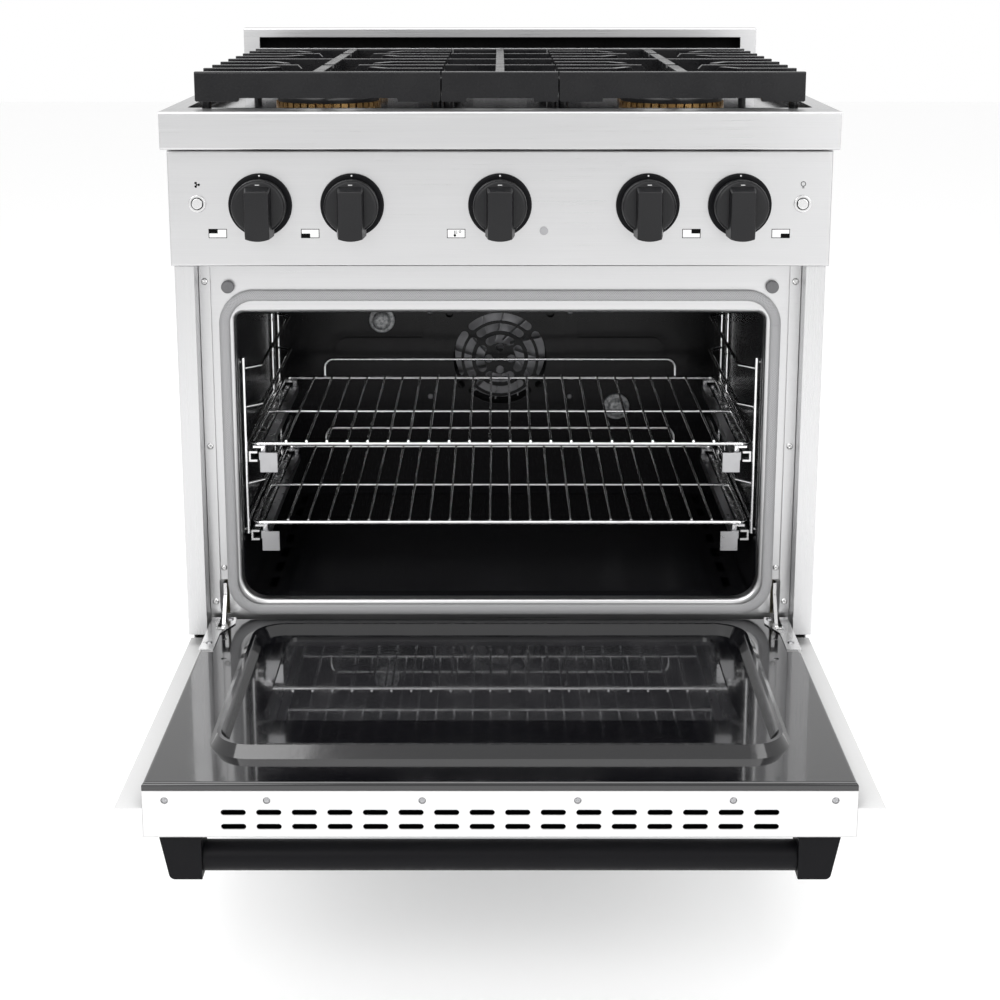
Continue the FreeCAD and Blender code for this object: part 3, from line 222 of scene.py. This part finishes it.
def oven_pane(name, colour):
    """Dark heat-proof glass with faint streaks left by wiping."""
    mat, nt, bsdf = material(name, colour, 0.0, 0.04, Coat_Weight=1.0, Coat_Roughness=0.02, IOR=1.7)
    streak = noise(nt, (30, 9, 30), 4.0, 0.6)
    nt.links.new(remap(nt, streak, 0.45, 0.75, 0.03, 0.12), bsdf.inputs["Roughness"])
    nt.links.new(blend_colours(nt, remap(nt, streak, 0.4, 0.8, 0, 1), colour, [c + 0.012 for c in colour]),
                 bsdf.inputs["Base Color"])
    return mat


def lamp_glass(name):
    """Pressed lamp glass with a fine ribbed texture, from one stretched noise in colour and bump."""
    mat, nt, bsdf = material(name, (0.36, 0.37, 0.38), 0.0, 0.16, Coat_Weight=0.6, Coat_Roughness=0.05)
    rib = noise(nt, (260, 60, 260), 2.0)
    nt.links.new(blend_colours(nt, remap(nt, rib, 0.35, 0.65, 0, 1), (0.22, 0.23, 0.24), (0.55, 0.56, 0.57)),
                 bsdf.inputs["Base Color"])
    bump(nt, bsdf, rib, 0.0004)
    return mat


def knitted(name):
    """A knitted glass-fibre sleeve: diagonal plaits that follow the piece's own UV, in metres."""
    mat, nt, bsdf = material(name, (0.5, 0.5, 0.5), 0.0, 0.8, Sheen_Weight=0.3)
    where = nt.nodes.new("ShaderNodeTexCoord")
    waves = []
    for slant in (1, -1):
        turn = nt.nodes.new("ShaderNodeMapping")
        turn.inputs["Rotation"].default_value = (0, 0, slant * math.radians(38))
        wave = nt.nodes.new("ShaderNodeTexWave")
        wave.inputs["Scale"].default_value = 190
        wave.inputs["Distortion"].default_value = 1.2
        wave.inputs["Detail"].default_value = 2
        nt.links.new(where.outputs["UV"], turn.inputs["Vector"])
        nt.links.new(turn.outputs["Vector"], wave.inputs["Vector"])
        waves.append(wave.outputs["Fac"])
    both = nt.nodes.new("ShaderNodeMath")
    both.operation = "MAXIMUM"
    nt.links.new(waves[0], both.inputs[0])
    nt.links.new(waves[1], both.inputs[1])
    nt.links.new(blend_colours(nt, both.outputs[0], (0.13, 0.13, 0.135), (0.47, 0.47, 0.48)),
                 bsdf.inputs["Base Color"])
    fluff = noise(nt, (1500, 1500, 1500), 3.0, source="Object")
    first = bump(nt, bsdf, fluff, 0.0002)
    bump(nt, bsdf, both.outputs[0], 0.0006, under=first)
    return mat


def make_materials():
    steel = (0.60, 0.60, 0.605)
    return {
        "stainless_x": brushed("stainless_x", steel, 0.30, (6, 700, 900)),
        "stainless_z": brushed("stainless_z", steel, 0.28, (900, 700, 6)),
        # painted shade: the cooktop's steel is made darker than the other stainless, standing in for the
        # shade and dark reflection under the grates
        "stainless_y_shaded": brushed("stainless_y_shaded", (0.42, 0.42, 0.43), 0.12, (900, 6, 900), 0.000006),
        "galvanised": brushed("galvanised", (0.55, 0.56, 0.57), 0.42, (40, 40, 40)),
        "bright_steel": polished("bright_steel", (0.70, 0.70, 0.70), 0.22),
        "chrome": polished("chrome", (0.93, 0.93, 0.94), 0.18),
        "enamel": enamel("enamel", (0.004, 0.004, 0.005), 0.10, Coat_Weight=0.8, Coat_Roughness=0.05),
        "enamel_deep": enamel("enamel_deep", (0.005, 0.005, 0.006), 0.22, Specular_IOR_Level=0.22),
        "enamel_matt": enamel("enamel_matt", (0.010, 0.010, 0.011), 0.34, Specular_IOR_Level=0.3),
        "door_white": grainy("door_white", (0.65, 0.65, 0.65), 0.36, 500, 0.00002, 0.02, 0.0008),
        "cast_iron": grainy("cast_iron", (0.004, 0.004, 0.005), 0.24, 420, 0.0001, 0.006, 0.0012,
                            Specular_IOR_Level=0.3),
        "black_metal": grainy("black_metal", (0.004, 0.004, 0.005), 0.40, 900, 0.00004, 0.002, 0.001,
                              Specular_IOR_Level=0.1),
        "knob": grainy("knob", (0.007, 0.007, 0.008), 0.34, 700, 0.00003, 0.004, 0.0008,
                       Specular_IOR_Level=0.28),
        "bezel": grainy("bezel", (0.003, 0.003, 0.004), 0.36, 700, 0.00002, 0.002, 0.0006,
                        Specular_IOR_Level=0.12),
        "fan_steel": polished("fan_steel", (0.26, 0.26, 0.27), 0.38),
        "glide_steel": polished("glide_steel", (0.46, 0.46, 0.47), 0.30),
        "screw_steel": polished("screw_steel", (0.36, 0.36, 0.37), 0.26),
        "brass": polished("brass", (0.62, 0.38, 0.15), 0.26),
        "lamp": lamp_glass("lamp"),
        "inner_glass": oven_pane("inner_glass", (0.020, 0.020, 0.022)),
        "outer_glass": oven_pane("outer_glass", (0.005, 0.005, 0.006)),
        "rope": knitted("rope"),
        "wool": grainy("wool", (0.5, 0.45, 0.3), 0.95, 200, 0.001, 0.1),
        "porcelain": grainy("porcelain", (0.82, 0.81, 0.78), 0.3, 300, 0.00003, 0.02),
        "silicone": grainy("silicone", (0.12, 0.12, 0.125), 0.55, 300, 0.00005, 0.02),
        # painted shade: a flat black that stands in for the shade inside hollows, such as the backguard's
        # slot and the door's inner faces
        "painted_shade": grainy("painted_shade", (0.002, 0.002, 0.002), 0.9, 300, 0.0001, 0.004, Specular_IOR_Level=0.1),
        "lens": grainy("lens", (0.30, 0.30, 0.31), 0.12, 300, 0.00001, 0.02, Coat_Weight=0.8),
        "ink": grainy("ink", (0.002, 0.002, 0.002), 0.6, 900, 0.00001, 0.001, Specular_IOR_Level=0.05),
        "mark": grainy("mark", (0.80, 0.80, 0.80), 0.5, 900, 0.00001, 0.02),
    }


FINISH = {
    "stainless_x": ["front_trim", "control_panel", "backguard", "front_frame", "kick_panel"],
    "stainless_z": ["side_panel_left", "side_panel_right", "leg_front_left", "leg_front_right",
                    "leg_rear_left", "leg_rear_right"],
    "stainless_y_shaded": ["cooktop"],
    "galvanised": ["rear_panel", "base_frame", "fan_motor", "gas_manifold"],
    "bright_steel": ["fan_button", "light_button", "glide_channels", "hinge_arms", "hinge_plates",
                     "bake_burner", "broil_burner"],
    "fan_steel": ["convection_fan"],
    "chrome": ["rack_upper", "rack_lower", "side_racks"],
    "enamel": ["door_liner"],
    "enamel_deep": ["oven_cavity", "oven_floor", "fan_cover"],
    "enamel_matt": ["burner_caps"],
    "door_white": ["door_skin", "door_top_band"],
    "cast_iron": ["grate_left", "grate_centre", "grate_right"],
    "black_metal": ["handle_bar", "handle_brackets"],
    "bezel": ["control_bezels"],
    "knob": ["knob_outer_left", "knob_inner_left", "knob_oven", "knob_inner_right", "knob_outer_right"],
    "brass": ["burner_heads", "stem_outer_left", "stem_inner_left", "stem_oven", "stem_inner_right",
              "stem_outer_right"],
    "lamp": ["oven_lamps"],
    "inner_glass": ["inner_glass"],
    "outer_glass": ["outer_glass"],
    "wool": ["insulation"],
    "porcelain": ["igniters"],
    "silicone": ["door_bumpers"],
}


def dress(mats):
    for finish, names in FINISH.items():
        for name in names:
            mesh = NODES[name].data
            mesh.materials.clear()
            mesh.materials.append(mats[finish])


def repaint(name, mat, chosen):
    """Gives the faces of a node whose centre the test picks a second material."""
    mesh = NODES[name].data
    mesh.materials.append(mat)
    for face in mesh.polygons:
        if chosen(face.center):
            face.material_index = len(mesh.materials) - 1


# ---------------------------------------------------------------- pieces
def piece(name, verts, faces, mat, body, smooth=True):
    mesh = bpy.data.meshes.new(name)
    mesh.from_pydata(verts, [], faces)
    mesh.materials.append(mat)
    if smooth:
        mesh.shade_smooth()
    obj = bpy.data.objects.new(name, mesh)
    bpy.context.scene.collection.objects.link(obj)
    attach(obj, body)
    return obj


def middle(node):
    low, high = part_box(node)
    return (Vector(low) + Vector(high)) / 2


def ring_path(half, low, high, corner, step):
    """Points and outward normals round a rounded rectangle in the XZ plane, a step apart."""
    inner = half - corner
    corners = [(inner, high - corner, 0), (-inner, high - corner, 90), (-inner, low + corner, 180),
               (inner, low + corner, 270)]
    path = []
    for n, (cx, cz, start) in enumerate(corners):
        turns = max(4, round(corner * math.pi / 2 / step))
        for k in range(turns + 1):
            a = math.radians(start + 90 * k / turns)
            path.append((Vector((cx + corner * math.cos(a), 0, cz + corner * math.sin(a))),
                         Vector((math.cos(a), 0, math.sin(a)))))
        after = corners[(n + 1) % 4]
        a = math.radians(start + 90)
        normal = Vector((math.cos(a), 0, math.sin(a)))
        end = Vector((after[0], 0, after[1])) + normal * corner
        begin = path[-1][0]
        count = max(1, round((end - begin).length / step))
        path += [(begin.lerp(end, k / count), normal) for k in range(1, count)]
    return path


def gasket(mats):
    """The knitted rope seal: a sleeve flattened against the frame."""
    low, high = (Vector(c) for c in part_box("door_gasket"))
    across, deep = 0.0125, high.y - low.y
    path = ring_path(high.x - across / 2, low.z + across / 2, high.z - across / 2, 0.0348, 0.0013)
    around, verts, faces, uvs = 18, [], [], []
    travel = 0.0
    for n, (place, normal) in enumerate(path):
        travel += (place - path[n - 1][0]).length if n else 0
        for k in range(around):
            a = 2 * math.pi * k / around
            plait = 1 + 0.035 * math.sin(travel * 2100 + 3 * a) * math.cos(travel * 2100 - 3 * a)
            out = math.cos(a) * across / 2 * plait
            front = math.sin(a) * deep / 2 * plait
            spot = place + normal * out + Vector((0, (low.y + high.y) / 2 - front, 0))
            spot.y = min(spot.y, high.y - 0.0001)
            verts.append(spot)
            uvs.append((travel, a * 0.005))
    total = len(path)
    for n in range(total):
        for k in range(around):
            m, j = (n + 1) % total, (k + 1) % around
            faces.append((n * around + k, n * around + j, m * around + j, m * around + k))
    obj = piece("gasket_rope", verts, faces, mats["rope"], "chassis")
    layer = obj.data.uv_layers.new(name="sleeve")
    for loop in obj.data.loops:
        layer.data[loop.index].uv = uvs[loop.vertex_index]
    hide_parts("door_gasket")


def screw_heads(name, places, body, mat, replaced=None):
    """Round screw heads with a cross recess.

    Each place is (centre of the seat, axis out, radius, height, spin).
    """
    rings, around = 12, 40
    verts, faces = [], []
    for seat, axis, radius, height, spin in places:
        axis = Vector(axis)
        right = axis.orthogonal().normalized()
        up = axis.cross(right)
        first = len(verts)
        for r in range(rings + 1):
            reach = r / rings
            for k in range(around):
                a = 2 * math.pi * k / around
                x, y = reach * math.cos(a), reach * math.sin(a)
                level = height * (1 - 0.75 * reach ** HEAD_ROUND)
                turned = (x * math.cos(spin) + y * math.sin(spin), y * math.cos(spin) - x * math.sin(spin))
                if reach < RECESS_REACH and min(abs(turned[0]), abs(turned[1])) < RECESS_HALF:
                    level -= height * 0.6 * (1 - reach)
                verts.append(Vector(seat) + (right * x + up * y) * radius + axis * level)
        for k in range(around):
            a = 2 * math.pi * k / around
            verts.append(Vector(seat) + (right * math.cos(a) + up * math.sin(a)) * radius)
        for r in range(rings + 1):
            for k in range(around):
                j = (k + 1) % around
                faces.append((first + r * around + k, first + (r + 1) * around + k,
                              first + (r + 1) * around + j, first + r * around + j))
    obj = piece(name, verts, faces, mat, body)
    if replaced:
        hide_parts(replaced)
    return obj


def parts_of(node):
    """The middle and box of each loose solid of a node, read from its mesh."""
    bm = bmesh.new()
    bm.from_mesh(NODES[node].data)
    bmesh.ops.remove_doubles(bm, verts=bm.verts, dist=1e-6)
    seen, boxes = set(), []
    for start in bm.verts:
        if start.index in seen:
            continue
        stack, group = [start], []
        seen.add(start.index)
        while stack:
            v = stack.pop()
            group.append(v.co.copy())
            for edge in v.link_edges:
                other = edge.other_vert(v)
                if other.index not in seen:
                    seen.add(other.index)
                    stack.append(other)
        low = Vector([min(c[i] for c in group) for i in range(3)])
        high = Vector([max(c[i] for c in group) for i in range(3)])
        boxes.append((low, high))
    bm.free()
    return boxes


def screws(mats):
    frame_places = []
    for low, high in parts_of("frame_screws"):
        mid = (low + high) / 2
        frame_places.append(((mid.x, high.y, mid.z), (0, -1, 0), (high.x - low.x) / 2, 0.0021, mid.z * 40))
    screw_heads("frame_screw_heads", frame_places, "chassis", mats["bright_steel"], "frame_screws")
    door_places = []
    for low, high in parts_of("door_screws"):
        mid = (low + high) / 2
        if high.y - low.y < high.z - low.z:
            door_places.append(((mid.x, high.y - 0.0002, mid.z), (0, -1, 0), 0.0034, 0.0009, mid.x * 30))
        else:
            door_places.append(((mid.x, mid.y, low.z), (0, 0, 1), (high.x - low.x) / 2, 0.0018, mid.x * 30))
    screw_heads("door_screw_heads", door_places, "door", mats["screw_steel"], "door_screws")
    low, high = (Vector(c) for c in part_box("fan_cover"))
    flange = high.y - 0.0015
    cover = [((sx * 0.1015, flange, z), (0, -1, 0), 0.0038, 0.0022, sx + z) for sx in (-1, 1)
             for z in (low.z + 0.017, high.z - 0.011)]
    screw_heads("fan_cover_screws", cover, "chassis", mats["fan_steel"])


def panel_shapes():
    """Outlines of the panel's pictograms as lists of (x, z) in millimetres from each pictogram's middle."""
    def plate(x0, x1, z0, z1):
        return [(x0, z0), (x1, z0), (x1, z1), (x0, z1)]

    def disc(cx, cz, radius, sides=20):
        turns = [2 * math.pi * k / sides for k in range(sides)]
        return [(cx + radius * math.cos(a), cz + radius * math.sin(a)) for a in turns]

    def loop(outer, inner):
        return [[outer[k], outer[(k + 1) % len(outer)], inner[(k + 1) % len(inner)], inner[k]]
                for k in range(len(outer))]
    w, h, line = 10.5, 5.3, 0.8
    border = loop(plate(-w, w, -h, h), plate(-w + line, w - line, -h + line, h - line))
    fill = [plate(-w + line, w - line, -h + line, h - line)]
    quarter = {(-1, 1): plate(-w, 0, 0, h), (-1, -1): plate(-w, 0, -h, 0),
               (1, 1): plate(0, w, 0, h), (1, -1): plate(0, w, -h, 0)}
    fan = [disc(0, 0, 0.95, 12)]
    for n in range(3):
        a = 2 * math.pi * n / 3
        blade = [(0.9, -0.7), (2.7, -1.8), (3.9, 0.0), (3.0, 1.6), (0.9, 0.8)]
        fan.append([(x * math.cos(a) - z * math.sin(a), x * math.sin(a) + z * math.cos(a)) for x, z in blade])
    bulb = loop(disc(0, 1.0, 3.0, 24), disc(0, 1.0, 2.2, 24))
    bulb += [plate(-1.2, 1.2, -2.9, -2.3), plate(-1.2, 1.2, -3.9, -3.3)]
    heat = [disc(-1.5, -2.2, 1.5, 20), plate(-2.0, -1.0, -2.0, 3.4)]
    heat += [plate(-0.4, 1.4, z, z + 0.5) for z in (-0.2, 1.2, 2.6)]
    heat += loop(disc(4.4, 2.2, 1.4, 20), disc(4.4, 2.2, 0.8, 20))
    return border, fill, quarter, fan, bulb, heat


def panel_marks(mats):
    """Printed pictograms under the knobs and over the buttons: white fields first, then the ink on them."""
    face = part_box("control_panel")[0][1]
    border, fill, quarter, fan, bulb, heat = panel_shapes()
    ink, field = [], []
    level = middle("knob_oven").z - 0.0286 - 0.0008
    for knob, offset, corner in (("knob_outer_left", -0.0494, (-1, 1)),
                                 ("knob_inner_left", -0.0485, (-1, -1)),
                                 ("knob_inner_right", 0.0503, (1, 1)),
                                 ("knob_outer_right", 0.0477, (1, -1))):
        x = middle(knob).x + offset
        ink.append((x, level, border + [quarter[corner]]))
        field.append((x, level, fill))
    ink.append((-0.050, level, border + heat))
    field.append((-0.050, level, fill))
    for node, shapes in (("fan_button", fan), ("light_button", bulb)):
        ink.append((middle(node).x, middle(node).z + 0.0215, shapes))
    for name, prints, lift, mat, slot in (("panel_fields", field, 0.00004, "mark", "white_paint"),
                                          ("panel_marks", ink, 0.00008, "ink", "knob_black")):
        verts, faces = [], []
        for x, z, shapes in prints:
            for shape in shapes:
                first = len(verts)
                verts.extend((x + px / 1000, face - lift, z + pz / 1000) for px, pz in shape)
                faces.append(list(range(first, len(verts))))
        piece(name, verts, faces, mats[mat], "chassis", smooth=False)


def knob_marks(mats):
    """A white dot on each bezel, and a short dash printed on each knob's face over its grip."""
    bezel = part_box("control_bezels")
    dots, dot_faces = [], []
    for key in ("outer_left", "inner_left", "oven", "inner_right", "outer_right"):
        name = "knob_" + key
        axis = middle("stem_" + key)
        low = Vector(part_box(name)[0])
        front = bezel[0][1] + 0.0001
        first = len(dots)
        for r, lift in ((0.0, 0.0004), (0.0008, 0.00032), (0.0011, 0.0)):
            for k in range(16):
                a = 2 * math.pi * k / 16
                dots.append((axis.x + r * math.cos(a), front - lift, axis.z + 0.0336 + r * math.sin(a)))
        for r in range(2):
            for k in range(16):
                j = (k + 1) % 16
                dot_faces.append((first + r * 16 + k, first + r * 16 + j, first + r * 16 + 16 + j,
                                  first + r * 16 + 16 + k))
        drum = low.y + GRIP_DEPTH - PRINT_LIFT
        verts = [(axis.x + x, drum, axis.z + z) for x, z in
                 ((-0.0024, 0.0252), (0.0024, 0.0252), (0.0024, 0.0259), (-0.0024, 0.0259))]
        piece("mark_" + key, verts, [(0, 1, 2, 3)], mats["mark"], name, smooth=False)
    piece("bezel_dots", dots, dot_faces, mats["mark"], "chassis")


def inner_faces(node, skin):
    """A test for the faces of a node's box that lie deeper than its skin."""
    low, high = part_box(node)
    return lambda c: all(low[i] + skin < c[i] < high[i] - skin for i in range(3))


make_stage()
MATS = make_materials()
dress(MATS)
# painted shade: the backguard's inside faces are made black to stand for the shade in its slot
repaint("backguard", MATS["painted_shade"], inner_faces("backguard", 0.0008))
repaint("control_bezels", MATS["bright_steel"], lambda c: abs(c.x) > 0.325)
repaint("control_bezels", MATS["lens"], lambda c: 0.040 < c.x < 0.060 and c.z < 0.785)
# painted shade: the inner faces of the door skin and top band are made black to stand for the shade inside
# the door
repaint("door_skin", MATS["painted_shade"], inner_faces("door_skin", 0.0012))
repaint("door_top_band", MATS["painted_shade"], inner_faces("door_top_band", 0.0012))
for rack in ("rack_upper", "rack_lower"):
    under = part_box(rack)[0][2] + 0.029
    repaint(rack, MATS["glide_steel"], lambda c: abs(c.x) > 0.268 and c.z < under)
gasket(MATS)
screws(MATS)
panel_marks(MATS)
knob_marks(MATS)
